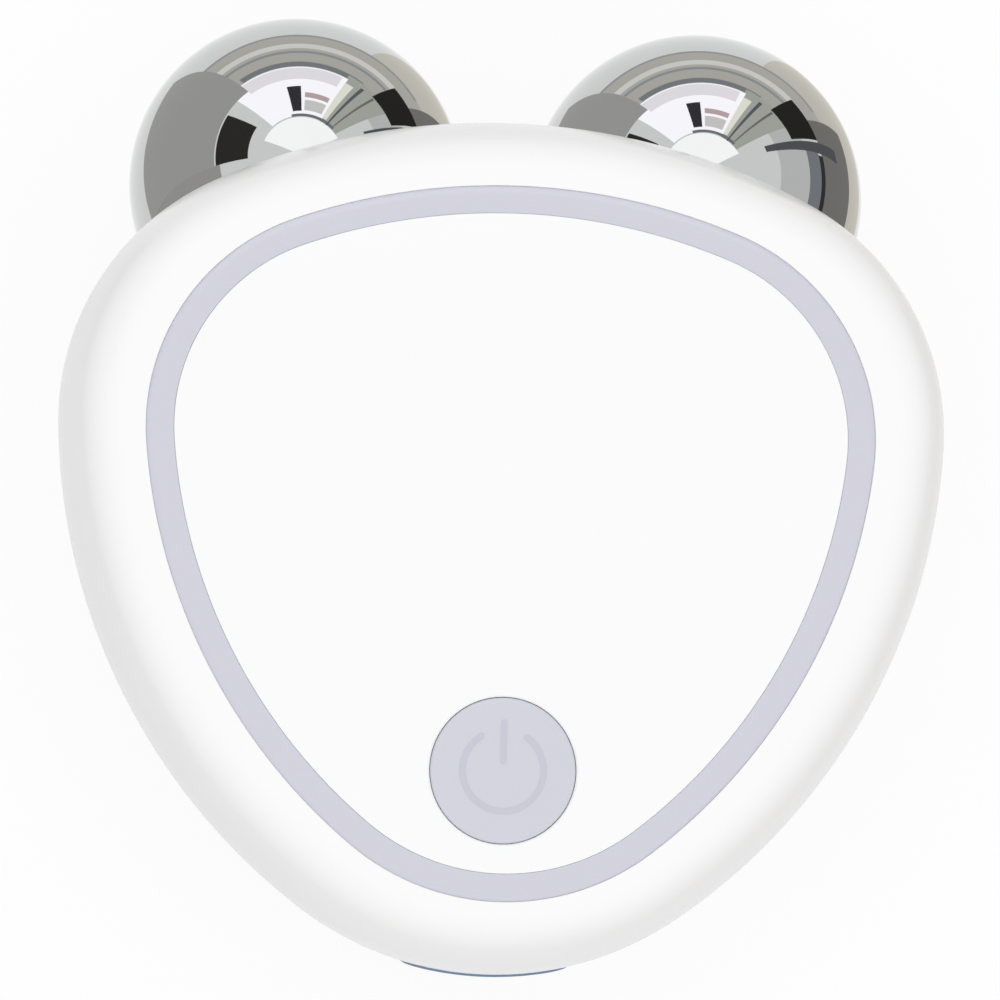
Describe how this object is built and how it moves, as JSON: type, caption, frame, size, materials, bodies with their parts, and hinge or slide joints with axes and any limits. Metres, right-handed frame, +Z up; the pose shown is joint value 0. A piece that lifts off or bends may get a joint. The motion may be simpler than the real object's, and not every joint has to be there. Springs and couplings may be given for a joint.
{
  "type": "facial toning device",
  "caption": "Palm-sized facial toner with a rounded pick-shaped body, a light ring and power button on its flat face, and free-rolling chrome balls behind its wide end.",
  "frame": {"origin": "centre of the bounding box at its lowest level, where the device lies on its two balls and the rounded back edge of its tail", "axes": "+Z up, +Y from the tail towards the balls, +X to the right as seen from above the face; the flat face is tilted 13.6 degrees back, with the tail low"},
  "size_m": [0.062, 0.0699, 0.0318],
  "materials": {
    "white_shell": "glossy moulded ABS",
    "white_panel": "glossy acrylic plate, printed white on the back",
    "milky_ring": "milky light guide, satin",
    "milky_button": "milky, satin",
    "adhesive": "double-sided tape",
    "frame_plastic": "moulded, uncoated",
    "pad_silicone": "soft silicone",
    "black_plastic": "moulded",
    "switch_metal": "moulded",
    "board": "solder mask over glass laminate",
    "light_package": "clear resin over phosphor",
    "steel": "zinc-plated",
    "plug_silicone": "silicone, slate blue",
    "battery_foil": "laminated pouch foil",
    "foam": "closed-cell foam",
    "lead_sheath": "soft insulated lead",
    "lead_sheath_white": "soft insulated lead",
    "chrome_ball": "polished plating",
    "bush_bronze": "sintered bronze",
    "axle_steel": "ground stainless steel",
    "seal_rubber": "nitrile ring",
    "tab_brass": "punched brass"
  },
  "bodies": {
    "casing": {"front_shell": "white_shell", "light_ring": "milky_ring", "face_panel": "white_panel", "panel_adhesive": "adhesive", "inner_frame": "frame_plastic", "rear_shell": "white_shell", "button_pad": "pad_silicone", "switch_body": "switch_metal", "upper_board": "board", "ring_lights": "light_package", "upper_board_screws": "steel", "board_connector": "black_plastic", "main_board": "board", "board_components": "black_plastic", "main_board_screws": "steel", "shell_screws": "steel", "charging_socket": "steel", "socket_tongue": "black_plastic", "battery": "battery_foil", "battery_foam": "foam", "battery_leads": "lead_sheath", "axle_carrier": "frame_plastic", "carrier_screws": "steel", "electrode_leads": "lead_sheath_white", "left_axle": "axle_steel", "left_axle_clip": "axle_steel", "left_axle_seal": "seal_rubber", "left_electrode_tab": "tab_brass", "left_axle_nut": "steel", "right_axle": "axle_steel", "right_axle_clip": "axle_steel", "right_axle_seal": "seal_rubber", "right_electrode_tab": "tab_brass", "right_axle_nut": "steel"},
    "button": {"power_button": "milky_button", "switch_plunger": "black_plastic"},
    "plug": {"port_plug": "plug_silicone"},
    "left_roller": {"left_ball": "chrome_ball", "left_inner_bush": "bush_bronze", "left_outer_bush": "bush_bronze"},
    "right_roller": {"right_ball": "chrome_ball", "right_inner_bush": "bush_bronze", "right_outer_bush": "bush_bronze"}
  },
  "joints": [
    {"name": "left_ball_spin", "type": "hinge", "parent": "casing", "child": "left_roller", "pos_m": [-0.0144, 0.02296, 0.012], "axis": [0.5826, -0.7742, 0.2473], "continuous": true},
    {"name": "right_ball_spin", "type": "hinge", "parent": "casing", "child": "right_roller", "pos_m": [0.0144, 0.02296, 0.012], "axis": [-0.5826, -0.7742, 0.2473], "continuous": true},
    {"name": "power_button_press", "type": "slide", "parent": "casing", "child": "button", "axis": [0, 0.2354, -0.9719], "range_m": [0, 0.0004], "stiffness_N_per_m": 2500, "springref_m": -0.0003, "deforming": ["button_pad"]},
    {"name": "port_plug_pull", "type": "slide", "parent": "casing", "child": "plug", "axis": [0, -0.9719, -0.2354], "range_m": [0, 0.005]}
  ]
}
